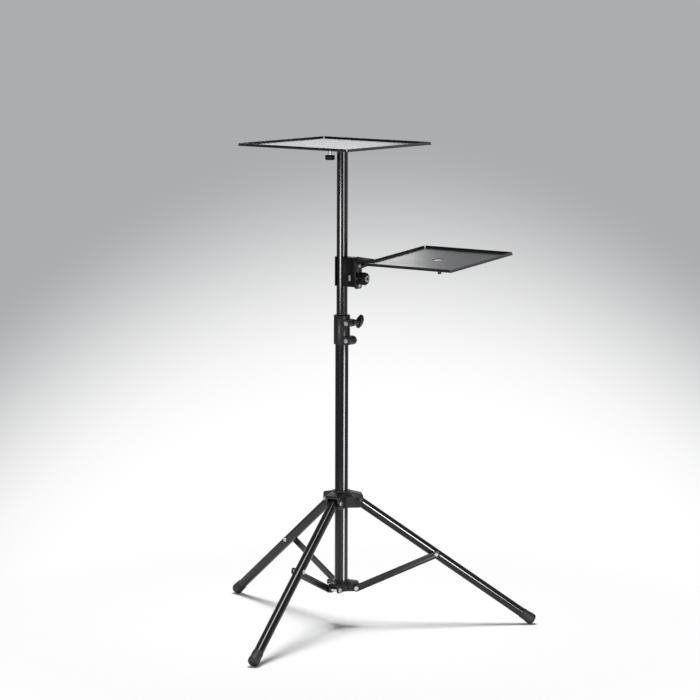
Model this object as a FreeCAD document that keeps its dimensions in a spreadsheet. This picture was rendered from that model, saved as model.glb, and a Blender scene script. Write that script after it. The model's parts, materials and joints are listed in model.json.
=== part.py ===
import FreeCAD, Part
import Sketcher
import math
import os

from FreeCAD import Placement, Rotation, Vector

# Tripod laptop stand: a square sheet-steel platform on a two-tube telescoping mast,
# a smaller tray clamped to the upper tube, and a folding tripod with flat-bar braces.
# Millimetres, +Z up. The origin is on the mast's axis at floor level.

os.makedirs("parts", exist_ok=True)
doc = FreeCAD.newDocument("TripodLaptopStand")
sheet = doc.addObject("Spreadsheet::Sheet", "Sizes")

# Driving dimensions
SIZES = (
    # Mast
    ("lower_tube_diameter", 30, "outside of the lower mast tube"),
    ("upper_tube_diameter", 25, "outside of the upper mast tube"),
    ("tube_wall", 1.5, "wall of every tube"),
    ("tube_below_pivot", 2.4, "lower tube's foot below the brace pivots"),
    ("lower_tube_length", 610, "length of the lower tube"),
    ("upper_tube_length", 620, "length of the upper tube"),
    ("slide_gap", 0.3, "gap at every sliding or turning fit"),
    ("press_gap", 0.05, "gap at every fixed fit"),
    # Platform
    ("platform_side", 310, "side of the square platform"),
    ("platform_height", 1101.4, "height of the platform's underside"),
    ("platform_turn", -38, "turn of the platform about the mast"),
    ("platform_shift", -16.6, "platform's centre from the mast, sideways"),
    ("platform_lip", 6.5, "height of the platform's folded lip"),
    ("sheet_thickness", 2, "sheet steel of platform and tray"),
    ("corner_notch", 3.5, "relief notch at each folded corner"),
    ("bend_radius", 1.6, "outside bend of a folded lip"),
    ("flange_length", 96, "mounting flange under the platform"),
    ("flange_width", 70, "width of the mounting flange"),
    ("flange_thickness", 4, "thickness of the mounting flange"),
    ("stud_radius", 4, "radius of threaded studs and pivot bolts"),
    ("platform_knob_reach", 28, "platform knob from the mast's axis"),
    ("platform_knob_turn", 186, "direction of the platform knob"),
    ("platform_knob_drop", 17, "free stud above the platform knob"),
    ("platform_knob_radius", 11, "radius of the platform knob"),
    ("platform_knob_length", 11.5, "length of the platform knob"),
    ("button_radius", 2.2, "radius of the retaining button"),
    ("button_drop", 51.4, "retaining button below the upper tube's end"),
    ("button_turn", -111.6, "direction of the retaining button"),
    ("button_proud", 0.8, "button above the tube's surface"),
    # Side tray and its clamp
    ("tray_side", 245, "side of the square tray"),
    ("tray_lip", 7, "height of the tray's folded lip"),
    ("clamp_stand_off", 66, "clamp's lower end above the height collar"),
    ("tray_turn", -36.8, "direction of the clamp screw"),
    ("tray_tilt", 4.7, "upward tilt of the tray along its bracket"),
    ("tray_rise", 27.4, "tray's underside above the screw axis, at its near edge"),
    ("tray_inset", 11, "tray's near edge from the screw axis"),
    ("tray_hole_radius", 12, "hole in the middle of the tray"),
    ("clamp_wall", 3.7, "wall of the clamp's hook"),
    ("clamp_below", 19.5, "clamp below the screw axis"),
    ("clamp_above", 46.5, "clamp above the screw axis"),
    ("clamp_reach", 43, "clamp's end face from the mast's axis"),
    ("clamp_half_width", 12, "half the width of the clamp block"),
    ("clamp_corner", 2.5, "rounded outer corners of the clamp block"),
    ("clamp_mouth_near", -8, "mouth's edge beside the hook"),
    ("clamp_mouth_far", 10, "mouth's edge beside the block"),
    ("nut_slot_place", 29, "middle of the captive nut's slot"),
    ("nut_across", 13, "nut across its flats"),
    ("nut_thickness", 6.5, "thickness of a nut"),
    ("nut_sunk", 0.8, "nut plate below the clamp's side"),
    ("bracket_thickness", 4, "thickness of the tray's bracket plate"),
    ("bracket_below", 23.5, "bracket plate below the screw axis"),
    ("bracket_head", 60, "length of the bracket's head along the tray"),
    ("bracket_peak", 21.6, "bracket's peak above the tray's underside"),
    ("bracket_corner", 4, "cut corner of the bracket plate"),
    ("bracket_margin", 6, "bracket plate below the tray's underside"),
    ("screw_shank_radius", 2.5, "radius of a bracket screw's shank"),
    ("screw_shank_length", 10, "bracket screw's shank in the clamp"),
    ("bracket_screw_above", 28.4, "upper bracket screw above the screw axis"),
    ("bracket_screw_below", 16.5, "lower bracket screw below the screw axis"),
    ("screw_head_radius", 4, "radius of a bracket screw's head"),
    ("screw_head_height", 2.6, "height of a bracket screw's head"),
    ("tray_knob_radius", 14.5, "radius of the tray's knob"),
    ("tray_knob_length", 20, "length of the tray's knob"),
    ("tray_knob_gap", 1.5, "washer between bracket and knob"),
    ("stop_radius", 4, "radius of the stop under the tray"),
    ("stop_length", 6, "length of the stop under the tray"),
    ("stop_reach", 206, "stop from the tray's bracket edge"),
    ("stop_inset", 10, "stop from the tray's near edge"),
    # Height collar
    ("collar_radius", 18.5, "outside of the height collar"),
    ("collar_grip", 47, "lower tube inside the collar"),
    ("collar_length", 66.5, "length of the collar"),
    ("collar_chamfer", 2, "bevel round the collar's upper rim"),
    ("collar_turn", -36, "direction of the collar's split"),
    ("collar_split", 3, "width of the collar's split"),
    ("lug_thickness", 11, "thickness of each clamping lug"),
    ("lug_reach", 23, "clamping bolt from the mast's axis"),
    ("lug_round", 8.5, "rounding of a lug about its bolt"),
    ("pinch_round", 10, "rounding of the pinch bolt's lugs"),
    ("wing_bolt_drop", 17.5, "wing bolt below the collar's upper end"),
    ("pinch_bolt_rise", 9.5, "pinch bolt above the collar's lower end"),
    ("collar_nut_across", 9.5, "collar's nuts across their flats"),
    ("collar_nut_thickness", 4.5, "thickness of the collar's nuts"),
    ("pinch_head_radius", 7.5, "radius of the pinch bolt's domed head"),
    ("pinch_head_height", 4, "height of the pinch bolt's domed head"),
    ("wing_stem_length", 20, "tapered stem of the wing handle"),
    ("wing_stem_radius", 7, "stem beside the lug"),
    ("wing_neck_radius", 4.5, "stem beside the wing"),
    ("wing_span", 33, "wing from tip to tip"),
    ("wing_depth", 10.5, "wing along its bolt"),
    ("wing_thickness", 14, "thickness of the wing at its middle"),
    ("wing_roll", 21, "turn of the wing about its bolt"),
    ("wing_cheek", 36, "radius of the wing's bowed cheeks"),
    # Tripod
    ("leg_turn", 4.5, "direction of the first leg"),
    ("leg_diameter", 22, "outside of a leg tube"),
    ("hub_pivot_radius", 39, "leg pivot from the mast's axis"),
    ("hub_pivot_height", 293.7, "height of the leg pivots"),
    ("foot_reach", 437.7, "foot's centre from the mast's axis"),
    ("foot_stand", 12.4, "leg's axis above the floor at the foot"),
    ("foot_neck_radius", 11.8, "radius of the rubber foot's neck"),
    ("foot_flare_radius", 13, "radius of the rubber foot's end"),
    ("foot_corner", 5, "rounded rim of the rubber foot's end"),
    ("foot_length", 26, "rubber sleeve on the leg tube"),
    ("foot_floor", 3, "tube end short of the foot's point on the axis"),
    ("leg_overhang", 4, "leg tube past its pivot"),
    ("brace_place", 217, "brace rivet along the leg"),
    ("brace_width", 16, "width of a brace bar"),
    ("brace_thickness", 3, "thickness of a brace bar"),
    ("brace_side", 13, "inner face of the brace from the leg's plane"),
    ("rivet_radius", 3.5, "radius of the leg rivet"),
    ("rivet_head_radius", 5, "radius of a rivet head"),
    ("rivet_head_height", 2.2, "height of a rivet head"),
    ("hub_core_radius", 20.5, "outside of the hubs' sleeves"),
    ("hub_crown_rise", 24.3, "top hub's upper rim above the leg pivots"),
    ("hub_arm_slope", 8.5, "fall of an arm of the top hub towards its end"),
    ("hub_plate_thickness", 5, "wall over the legs in the top hub"),
    ("hub_web_reach", 31, "web between the top hub's arms"),
    ("hub_web_drop", 12, "depth of the web between the top hub's arms"),
    ("hub_ear_gap", 12, "inner face of an ear from the leg's plane"),
    ("hub_ear_thickness", 5.5, "thickness of an ear of the top hub"),
    ("hub_ear_round", 9.5, "rounding of an ear about its pivot"),
    ("hub_corner", 5, "rounded corners of the hubs' arms"),
    ("hub_edge", 1.2, "rounded edges of the hubs' arms"),
    ("hub_ear_drop", 14.5, "ear below its pivot"),
    ("hub_sleeve_drop", 15, "sleeve below the leg pivots"),
    ("base_pivot_radius", 33.4, "brace pivot from the mast's axis"),
    ("base_pivot_height", 92.4, "height of the brace pivots"),
    ("base_crown_rise", 17.6, "bottom hub's upper rim above the brace pivots"),
    ("base_arm_slope", 4, "fall of an arm of the bottom hub towards its end"),
    ("base_plate_thickness", 5, "wall over the axles in the bottom hub"),
    ("base_web_reach", 27, "web between the bottom hub's arms"),
    ("base_web_drop", 9, "depth of the web between the bottom hub's arms"),
    ("base_floor", 4, "floor under the mast in the bottom hub"),
    ("base_ear_thickness", 5, "thickness of an ear of the bottom hub"),
    ("base_ear_round", 7.5, "rounding of a bottom ear about its pivot"),
    ("brace_gap", 0.5, "gap between brace bar and bottom ear"),
    ("lock_turn", 64.5, "direction of the hub's lock screw"),
    ("lock_rise", 1.3, "lock screw above the leg pivots"),
    ("lock_boss_radius", 9, "boss round the lock screw"),
    ("lock_boss_reach", 29, "boss face from the mast's axis"),
    ("lock_knob_radius", 12, "radius of the lock knob"),
    ("lock_knob_length", 15, "length of the lock knob"),
    # Grips and heads
    ("knob_neck", 3, "neck under the grip of a knob"),
    ("platform_knob_neck", 0.6, "neck under the grip of the platform knob"),
    ("flute_radius", 3, "radius of a finger flute in a grip"),
    ("flute_depth", 1.1, "depth of a finger flute in a grip"),
    ("dimple_radius", 2, "hollow in a rivet's head"),
    ("dimple_depth", 1.2, "depth of the hollow in a rivet's head"),
)
for row, (alias, amount, note) in enumerate(SIZES, start=1):
    sheet.set("A%d" % row, alias)
    sheet.set("B%d" % row, str(amount))
    sheet.setAlias("B%d" % row, alias)
    sheet.set("C%d" % row, note)
doc.recompute()


# A size that carries its number and the sheet's expression for it
class Size:
    def __init__(self, number, text):
        self.number = float(number)
        self.text = text

    def __add__(self, other):
        other = as_size(other)
        return Size(self.number + other.number, "(%s + %s)" % (self.text, other.text))

    def __sub__(self, other):
        other = as_size(other)
        return Size(self.number - other.number, "(%s - %s)" % (self.text, other.text))

    def __mul__(self, factor):
        return Size(self.number * factor, "(%s * %s)" % (self.text, factor))

    def __neg__(self):
        return self * -1

    def __float__(self):
        return self.number


def as_size(item):
    if isinstance(item, Size):
        return item
    return Size(item, "(%s)" % item)


def size(alias):
    return Size(sheet.get(alias), "Sizes." + alias)


def num(alias):
    return float(sheet.get(alias))


# Placement helpers. A frame is turned about Z to a direction; "along" lays +Z onto a direction.
ZERO = Vector(0, 0, 0)
UP = Vector(0, 0, 1)
DOWN = Vector(0, 0, -1)


def turned(angle):
    return Placement(ZERO, Rotation(UP, angle))


def at(x, y, z):
    return Placement(Vector(float(x), float(y), float(z)), Rotation())


def along(x, y, z, direction):
    return Placement(Vector(float(x), float(y), float(z)), Rotation(UP, direction))


AHEAD = Vector(1, 0, 0)
LEFT = Vector(0, 1, 0)
RIGHT = Vector(0, -1, 0)


# Distance under which two places are one
NEAR = 1e-6


# Bound primitives and booleans
def bound(kind, name, placement, **sizes):
    item = doc.addObject(kind, name)
    for prop, amount in sizes.items():
        item.setExpression(prop, as_size(amount).text)
    item.Placement = placement
    return item


def rod(name, radius, length, placement):
    return bound("Part::Cylinder", name, placement, Radius=radius, Height=length)


def taper(name, radius, end_radius, length, placement):
    return bound("Part::Cone", name, placement, Radius1=radius, Radius2=end_radius, Height=length)


def block(name, x0, x1, y0, y1, z0, z1):
    x0, x1, y0, y1, z0, z1 = [as_size(v) for v in (x0, x1, y0, y1, z0, z1)]
    return bound("Part::Box", name, at(x0, y0, z0), Length=x1 - x0, Width=y1 - y0, Height=z1 - z0)


def cut(name, base, tools):
    result = base
    for index, tool in enumerate(tools):
        step = doc.addObject("Part::Cut", "%s_cut%d" % (name, index))
        step.Base = result
        step.Tool = tool
        result = step
    return result


def fuse(name, pieces):
    item = doc.addObject("Part::MultiFuse", name)
    item.Shapes = pieces
    item.Refine = True
    return item


def joined(name, pieces):
    result = pieces[0]
    for index, piece in enumerate(pieces[1:]):
        step = doc.addObject("Part::Fuse", "%s_join%d" % (name, index))
        step.Base = result
        step.Tool = piece
        result = step
    return result


def common(name, pieces):
    item = doc.addObject("Part::MultiCommon", name)
    item.Shapes = pieces
    return item


def rounded(name, base, radius, chosen):
    doc.recompute()
    item = doc.addObject("Part::Fillet", name)
    item.Base = base
    picked = []
    for index, edge in enumerate(base.Shape.Edges, start=1):
        if chosen(edge):
            picked.append((index, float(radius), float(radius)))
    item.Edges = picked
    return item


def upright_edge(edge):
    if len(edge.Vertexes) != 2:
        return False
    line = edge.Vertexes[1].Point - edge.Vertexes[0].Point
    return math.hypot(line.x, line.y) < NEAR and abs(line.z) > NEAR


# A turned piece: a closed profile in the body's XZ plane, spun about its Z axis
def spun(name, profile):
    body = doc.addObject("PartDesign::Body", name)
    sketch = outline(body, name + "_profile", "XZ_Plane", profile)
    turn = body.newObject("PartDesign::Revolution", name + "_turn")
    turn.Profile = sketch
    turn.ReferenceAxis = (sketch, ["V_Axis"])
    turn.Angle = 360
    body.Tip = turn
    return body


# A flat piece: a closed profile on one of the body's planes, padded by a thickness
def padded(name, plane, profile, thickness, midplane=False):
    body = doc.addObject("PartDesign::Body", name)
    sketch = outline(body, name + "_profile", plane, profile)
    pad = body.newObject("PartDesign::Pad", name + "_pad")
    pad.Profile = sketch
    pad.setExpression("Length", as_size(thickness).text)
    pad.Midplane = midplane
    body.Tip = pad
    return body


def outline(body, name, plane, profile):
    sketch = body.newObject("Sketcher::SketchObject", name)
    support = [f for f in body.Origin.OriginFeatures if f.Role == plane][0]
    sketch.AttachmentSupport = [(support, "")]
    sketch.MapMode = "FlatFace"
    points = [(as_size(u), as_size(v)) for u, v in profile]
    count = len(points)
    for index in range(count):
        start, end = points[index], points[(index + 1) % count]
        sketch.addGeometry(Part.LineSegment(
            Vector(start[0].number, start[1].number, 0),
            Vector(end[0].number, end[1].number, 0)))
    for index in range(count):
        sketch.addConstraint(Sketcher.Constraint("Coincident", index, 2, (index + 1) % count, 1))
    for index, (u, v) in enumerate(points):
        for kind, amount in (("DistanceX", u), ("DistanceY", v)):
            place = sketch.addConstraint(Sketcher.Constraint(kind, -1, 1, index, 1, amount.number))
            sketch.setExpression("Constraints[%d]" % place, amount.text)
    return sketch


# Grip knob: a turned blank with a neck that seats on its stud or boss, and a ring of finger flutes
FLUTES = 10


def knob(name, radius, length, neck):
    blank = spun(name + "_blank", (
        (0, 0),
        (radius * 0.55, 0),
        (radius * 0.55, neck),
        (radius * 0.93, neck),
        (radius, neck + radius * 0.12),
        (radius, length * 0.86),
        (radius * 0.86, length),
        (0, length),
    ))
    reach = radius + size("flute_radius") - size("flute_depth")
    tools = []
    for index in range(FLUTES):
        way = turned(360 * index / FLUTES)
        tools.append(rod("%s_flute%d" % (name, index), size("flute_radius"), length, way * at(reach, 0, neck)))
    return cut(name, blank, tools)


def hexagon(name, across, length, placement):
    item = bound("Part::Prism", name, placement, Circumradius=across * (1 / math.sqrt(3)), Height=length)
    item.Polygon = 6
    return item


NODES = []


def node(item, label, placement=None):
    if placement is not None:
        item.Placement = placement * item.Placement
    item.Label = label
    NODES.append(item)
    return item


PAST = 2.0
gap = size("slide_gap")
fit = size("press_gap")
wall = size("tube_wall")
lower_radius = size("lower_tube_diameter") * 0.5
upper_radius = size("upper_tube_diameter") * 0.5
stud = size("stud_radius")

# Lower mast tube
tube_bottom = size("base_pivot_height") - size("tube_below_pivot")
tube_length = size("lower_tube_length")
tube_top = tube_bottom + tube_length
node(cut("lower_tube", rod("lower_tube_skin", lower_radius, tube_length, at(0, 0, tube_bottom)), [
    rod("lower_tube_bore", lower_radius - wall, tube_length + 2 * PAST, at(0, 0, tube_bottom - PAST)),
]), "lower_tube")

# Upper mast tube, with the hole for its retaining button
flange_bottom = size("platform_height") - size("flange_thickness")
upper_length = size("upper_tube_length")
upper_bottom = flange_bottom - upper_length
button_way = turned(num("button_turn"))
button_z = flange_bottom - size("button_drop")
node(cut("upper_tube", rod("upper_tube_skin", upper_radius, upper_length, at(0, 0, upper_bottom)), [
    rod("upper_tube_bore", upper_radius - wall, upper_length + 2 * PAST, at(0, 0, upper_bottom - PAST)),
    rod("button_hole", size("button_radius") + fit, upper_radius,
        button_way * along(upper_radius * 0.5, 0, button_z, AHEAD)),
]), "upper_tube")
node(rod("button_pin", size("button_radius"), wall + size("button_proud"),
         button_way * along(upper_radius - wall, 0, button_z, AHEAD)), "retaining_button")


# Square sheet with a lip folded up along each side and a relief notch at each corner
def lipped_sheet(name, side, lip, x0, y0):
    sheet_gauge = size("sheet_thickness")
    notch = size("corner_notch")
    x1, y1 = x0 + side, y0 + side
    blank = block(name + "_blank", x0, x1, y0, y1, 0, lip)
    blank = rounded(name + "_bend", blank, num("bend_radius"),
                    lambda edge: max(abs(v.Point.z) for v in edge.Vertexes) < NEAR)
    tools = [block(name + "_inside", x0 + sheet_gauge, x1 - sheet_gauge, y0 + sheet_gauge, y1 - sheet_gauge,
                   sheet_gauge, lip + PAST)]
    for index, (x, y) in enumerate(((x0, y0), (x1, y0), (x1, y1), (x0, y1))):
        tools.append(block("%s_notch%d" % (name, index), x - notch, x + notch, y - notch, y + notch,
                           sheet_gauge, lip + PAST))
    return cut(name, blank, tools)


# Platform on its mounting flange
platform_side = size("platform_side")
platform_frame = turned(num("platform_turn"))
node(lipped_sheet("platform", platform_side, size("platform_lip"), platform_side * -0.5, platform_side * -0.5),
     "platform", at(size("platform_shift"), 0, size("platform_height")) * platform_frame)
half_flange = size("flange_length") * 0.5
half_width = size("flange_width") * 0.5
flange = block("flange_blank", -half_flange, half_flange, -half_width, half_width,
               flange_bottom, size("platform_height"))
node(rounded("flange_corners", flange, num("bend_radius") * 5, upright_edge), "platform_flange", platform_frame)

# Knob on a stud under the flange
knob_way = turned(num("platform_knob_turn"))
drop = size("platform_knob_drop")
reach = size("platform_knob_reach")
node(rod("platform_stud_rod", stud, drop, knob_way * at(reach, 0, flange_bottom - drop)), "platform_stud")
platform_grip = knob("platform_grip", size("platform_knob_radius"), size("platform_knob_length"),
                     size("platform_knob_neck"))
node(platform_grip, "platform_knob", knob_way * along(reach, 0, flange_bottom - drop, DOWN))

# Tray clamp: a hook round the upper tube, open to one side, with a block that carries the bracket
tray_way = turned(num("tray_turn"))
collar_bottom = tube_top - size("collar_grip")
collar_length = size("collar_length")
collar_top = collar_bottom + collar_length
clamp_bottom = collar_top + size("clamp_stand_off")
screw_z = clamp_bottom + size("clamp_below")
clamp_height = size("clamp_below") + size("clamp_above")
clamp_half = size("clamp_half_width")
clamp_reach = size("clamp_reach")
clamp_bore = upper_radius + gap
hook_radius = clamp_bore + size("clamp_wall")
nut_across = size("nut_across")
nut_thick = size("nut_thickness")
nut_x = size("nut_slot_place") - nut_thick * 0.5
shank = size("screw_shank_radius")
shank_length = size("screw_shank_length")
screw_heights = (screw_z + size("bracket_screw_above"), screw_z - size("bracket_screw_below"))
clamp_blank = fuse("clamp_blank", [
    rod("clamp_hook", hook_radius, clamp_height, at(0, 0, clamp_bottom)),
    block("clamp_block", 0, clamp_reach, -clamp_half, clamp_half, clamp_bottom, clamp_bottom + clamp_height),
])
clamp_blank = rounded("clamp_corners", clamp_blank, num("clamp_corner"),
                      lambda edge: upright_edge(edge) and edge.Vertexes[0].Point.x > float(clamp_reach) - PAST)
clamp_tools = [
    rod("clamp_bore", clamp_bore, clamp_height + 2 * PAST, at(0, 0, clamp_bottom - PAST)),
    block("clamp_mouth", size("clamp_mouth_near"), size("clamp_mouth_far"), -hook_radius - PAST, 0,
          clamp_bottom - PAST, clamp_bottom + clamp_height + PAST),
    block("nut_slot", nut_x - fit, nut_x + nut_thick + fit, -clamp_half - PAST,
          nut_across * 0.5 + fit, screw_z - nut_across * 0.5 - fit, screw_z + nut_across * 0.5 + fit),
    rod("clamp_screw_way", stud + fit, clamp_reach, along(clamp_bore - PAST, 0, screw_z, AHEAD)),
]
for index, height in enumerate(screw_heights):
    clamp_tools.append(rod("clamp_screw_hole%d" % index, shank + fit, shank_length + PAST,
                           along(clamp_reach - shank_length, 0, height, AHEAD)))
node(cut("tray_clamp", clamp_blank, clamp_tools), "tray_clamp", tray_way)
nut_half = nut_across * 0.5
nut_plate = block("clamp_nut_plate", nut_x, nut_x + nut_thick, size("nut_sunk") - clamp_half, nut_half,
                  screw_z - nut_half, screw_z + nut_half)
node(cut("clamp_nut", nut_plate, [
    rod("clamp_nut_bore", stud + fit, nut_thick + 2 * PAST, along(nut_x - PAST, 0, screw_z, AHEAD)),
]), "clamp_nut", tray_way)

# Bracket plate between clamp and tray; its head runs along the tray's lip
plate = size("bracket_thickness")
rise = size("tray_rise")
inset = size("tray_inset")
lip = size("tray_lip")
slope = math.tan(math.radians(num("tray_tilt")))
head = size("bracket_head")
corner = size("bracket_corner")
below = size("bracket_below")
margin = size("bracket_margin")
head_rise = rise + (head - inset) * slope
bracket = padded("bracket_plate", "YZ_Plane", (
    (-clamp_half, corner - below),
    (corner - clamp_half, -below),
    (clamp_half - corner, -below),
    (clamp_half, corner - below),
    (clamp_half, rise - margin),
    (head, head_rise - margin * 0.5),
    (head, head_rise + lip),
    (-margin * 0.4, rise + size("bracket_peak")),
    (-clamp_half, rise + size("bracket_peak") * 0.6),
), plate)
bracket.Placement = at(clamp_reach, 0, screw_z)
bracket_tools = [rod("bracket_screw_way", stud + fit, plate + 2 * PAST,
                     along(clamp_reach - PAST, 0, screw_z, AHEAD))]
for index, height in enumerate(screw_heights):
    bracket_tools.append(rod("bracket_hole%d" % index, shank + fit, plate + 2 * PAST,
                             along(clamp_reach - PAST, 0, height, AHEAD)))
node(cut("tray_bracket", bracket, bracket_tools), "tray_bracket", tray_way)
face = clamp_reach + plate
for label, height in zip(("bracket_screw_upper", "bracket_screw_lower"), screw_heights):
    node(fuse(label + "_whole", [
        rod(label + "_shank", shank, shank_length + plate, along(clamp_reach - shank_length, 0, height, AHEAD)),
        rod(label + "_head", size("screw_head_radius"), size("screw_head_height"),
            along(face, 0, height, AHEAD)),
    ]), label, tray_way)

# Clamp screw, its washer, knob and end nut
seat = face + size("tray_knob_gap")
node(rod("clamp_screw_rod", stud, seat - clamp_bore, along(clamp_bore, 0, screw_z, AHEAD)),
     "clamp_screw", tray_way)
node(cut("knob_washer", rod("knob_washer_disc", stud * 2, size("tray_knob_gap"),
                            along(face, 0, screw_z, AHEAD)), [
    rod("knob_washer_bore", stud + fit, size("tray_knob_gap") + 2 * PAST,
        along(face - PAST, 0, screw_z, AHEAD)),
]), "knob_washer", tray_way)
node(knob("tray_grip", size("tray_knob_radius"), size("tray_knob_length"), size("knob_neck")), "tray_knob",
     tray_way * along(seat, 0, screw_z, AHEAD))
node(hexagon("tray_knob_nut_blank", nut_across, nut_thick * 0.4,
             along(seat + size("tray_knob_length"), 0, screw_z, AHEAD)), "tray_knob_nut", tray_way)

# Side tray, tilted along its bracket, with a round hole in its middle and a stop below
tray_side = size("tray_side")
tray_frame = tray_way * Placement(Vector(float(face), float(inset), float(screw_z + rise)),
                                  Rotation(AHEAD, num("tray_tilt")))
tray_sheet = lipped_sheet("tray", tray_side, lip, as_size(0), as_size(0))
node(cut("tray_open", tray_sheet, [
    rod("tray_hole", size("tray_hole_radius"), lip + 2 * PAST, at(tray_side * 0.5, tray_side * 0.5, -PAST)),
]), "tray", tray_frame)
node(rod("tray_stop_rod", size("stop_radius"), size("stop_length"),
         tray_frame * at(size("stop_reach"), size("stop_inset"), -size("stop_length"))), "tray_stop")

# Height collar: split sleeve over both tubes, with two pairs of clamping lugs
collar_way = turned(num("collar_turn"))
half_split = size("collar_split") * 0.5
lug_face = half_split + size("lug_thickness")
lug_reach = size("lug_reach")
lug_round = size("lug_round")
pinch_round = size("pinch_round")
wing_z = collar_top - size("wing_bolt_drop")
pinch_z = collar_bottom + size("pinch_bolt_rise")
chamfer = size("collar_chamfer")
collar_radius = size("collar_radius")
collar_pieces = [
    rod("collar_sleeve", collar_radius, collar_length - chamfer, at(0, 0, collar_bottom)),
    taper("collar_rim", collar_radius, collar_radius - chamfer * 0.6, chamfer, at(0, 0, collar_top - chamfer)),
]
collar_tools = [
    rod("collar_lower_bore", lower_radius + fit, tube_top - collar_bottom + PAST,
        at(0, 0, collar_bottom - PAST)),
    rod("collar_upper_bore", upper_radius + gap, collar_length + 2 * PAST, at(0, 0, collar_bottom - PAST)),
    block("collar_gap", 0, lug_reach + pinch_round + PAST, -half_split, half_split,
          collar_bottom - pinch_round, collar_top + PAST),
]
for index, (height, curve) in enumerate(((wing_z, lug_round), (pinch_z, pinch_round))):
    collar_pieces.append(block("lug_web%d" % index, 0, lug_reach, -lug_face, lug_face,
                               height - curve, height + curve))
    collar_pieces.append(rod("lug_end%d" % index, curve, lug_face * 2,
                             along(lug_reach, -lug_face, height, LEFT)))
    collar_tools.append(rod("lug_hole%d" % index, stud + fit, (lug_face + PAST) * 2,
                            along(lug_reach, -lug_face - PAST, height, LEFT)))
node(cut("height_collar", fuse("collar_blank", collar_pieces), collar_tools), "height_collar", collar_way)

# Wing bolt that holds the height, and the pinch bolt that holds the collar
collar_nut = size("collar_nut_across")
collar_nut_thick = size("collar_nut_thickness")
bolt_start = -lug_face - collar_nut_thick - stud * 0.3
node(fuse("wing_bolt_whole", [
    rod("wing_bolt_rod", stud, lug_face - bolt_start, along(lug_reach, bolt_start, wing_z, LEFT)),
    hexagon("wing_bolt_nut", collar_nut, collar_nut_thick, along(lug_reach, -lug_face, wing_z, RIGHT)),
]), "wing_bolt", collar_way)
half_span = size("wing_span") * 0.5
half_depth = size("wing_depth") * 0.5
wing_half = size("wing_thickness") * 0.5
wing_bow = padded("wing_bow", "YZ_Plane", (
    (-half_depth, -half_span * 0.28),
    (-half_depth * 0.62, -half_span * 0.7),
    (-half_depth * 0.25, -half_span * 0.97),
    (half_depth * 0.1, -half_span),
    (half_depth * 0.5, -half_span * 0.88),
    (half_depth * 0.85, -half_span * 0.58),
    (half_depth, -half_span * 0.2),
    (half_depth, half_span * 0.2),
    (half_depth * 0.85, half_span * 0.58),
    (half_depth * 0.5, half_span * 0.88),
    (half_depth * 0.1, half_span),
    (-half_depth * 0.25, half_span * 0.97),
    (-half_depth * 0.62, half_span * 0.7),
    (-half_depth, half_span * 0.28),
), wing_half * 2, True)
cheek = size("wing_cheek")
wing = common("wing_lens", [
    wing_bow,
    rod("wing_cheek_a", cheek, half_depth * 4, along(cheek - wing_half, half_depth * -2, 0, LEFT)),
    rod("wing_cheek_b", cheek, half_depth * 4, along(wing_half - cheek, half_depth * -2, 0, LEFT)),
])
stem = size("wing_stem_length")
wing.Placement = Placement(Vector(float(lug_reach), float(lug_face + stem + half_depth * 0.8), float(wing_z)),
                           Rotation(LEFT, num("wing_roll")))
node(fuse("wing_handle_whole", [
    taper("wing_stem", size("wing_stem_radius"), size("wing_neck_radius"), stem + half_depth,
          along(lug_reach, lug_face, wing_z, LEFT)),
    wing,
]), "wing_handle", collar_way)
pinch_head = size("pinch_head_radius")
pinch_high = size("pinch_head_height")
node(fuse("pinch_bolt_whole", [
    rod("pinch_bolt_rod", stud, lug_face - bolt_start, along(lug_reach, bolt_start, pinch_z, LEFT)),
    hexagon("pinch_bolt_nut", collar_nut, collar_nut_thick, along(lug_reach, -lug_face, pinch_z, RIGHT)),
    rod("pinch_bolt_flange", pinch_head, pinch_high * 0.4, along(lug_reach, lug_face, pinch_z, LEFT)),
    taper("pinch_bolt_dome", pinch_head, pinch_head * 0.6, pinch_high * 0.6,
          along(lug_reach, lug_face + pinch_high * 0.4, pinch_z, LEFT)),
]), "pinch_bolt", collar_way)


# A tripod hub in the first leg's frame: a sleeve and three sloping arms, each a clevis with a cross hole
def hub(name, core_bottom, top, slope, wall_over, pivot_x, pivot_z, ear_drop, inner, outer, ear_round, extra):
    core = size("hub_core_radius")
    end = pivot_x + ear_round
    foot = pivot_z - ear_drop
    pieces = [rod(name + "_core", core, top - core_bottom, at(0, 0, core_bottom))]
    holes = []
    for index in range(3):
        tag = "%s_arm%d" % (name, index)
        arm = padded(tag, "XZ_Plane", (
            (core * 0.5, foot),
            (pivot_x + ear_round * 0.3, foot),
            (end, pivot_z),
            (end, top - slope),
            (core * 0.5, top),
        ), outer * 2, True)
        arm = rounded(tag + "_corners", arm, num("hub_corner"),
                      lambda edge: outer_corner(edge, float(pivot_x)))
        arm = rounded(tag + "_edges", arm, num("hub_edge"),
                      lambda edge: side_edge(edge, float(outer), float(core)))
        slot = padded(tag + "_slot", "XZ_Plane", (
            (0, foot - PAST),
            (end + PAST, foot - PAST),
            (end + PAST, top - slope - wall_over),
            (0, top - wall_over),
        ), inner * 2, True)
        clevis = doc.addObject("Part::Cut", tag + "_clevis")
        clevis.Base = arm
        clevis.Tool = slot
        clevis.Placement = turned(120 * index)
        pieces.append(clevis)
        holes.append(rod("%s_hole%d" % (name, index), stud + fit, (outer + PAST) * 2,
                         turned(120 * index) * along(pivot_x, -outer - PAST, pivot_z, LEFT)))
    return joined(name + "_blank", pieces + extra), holes


def outer_corner(edge, pivot_x):
    points = [v.Point for v in edge.Vertexes]
    nearest = min(p.x for p in points)
    farthest = max(p.x for p in points)
    level = abs(points[0].z - points[-1].z) < NEAR
    return nearest > pivot_x and farthest - nearest < NEAR and level


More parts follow.
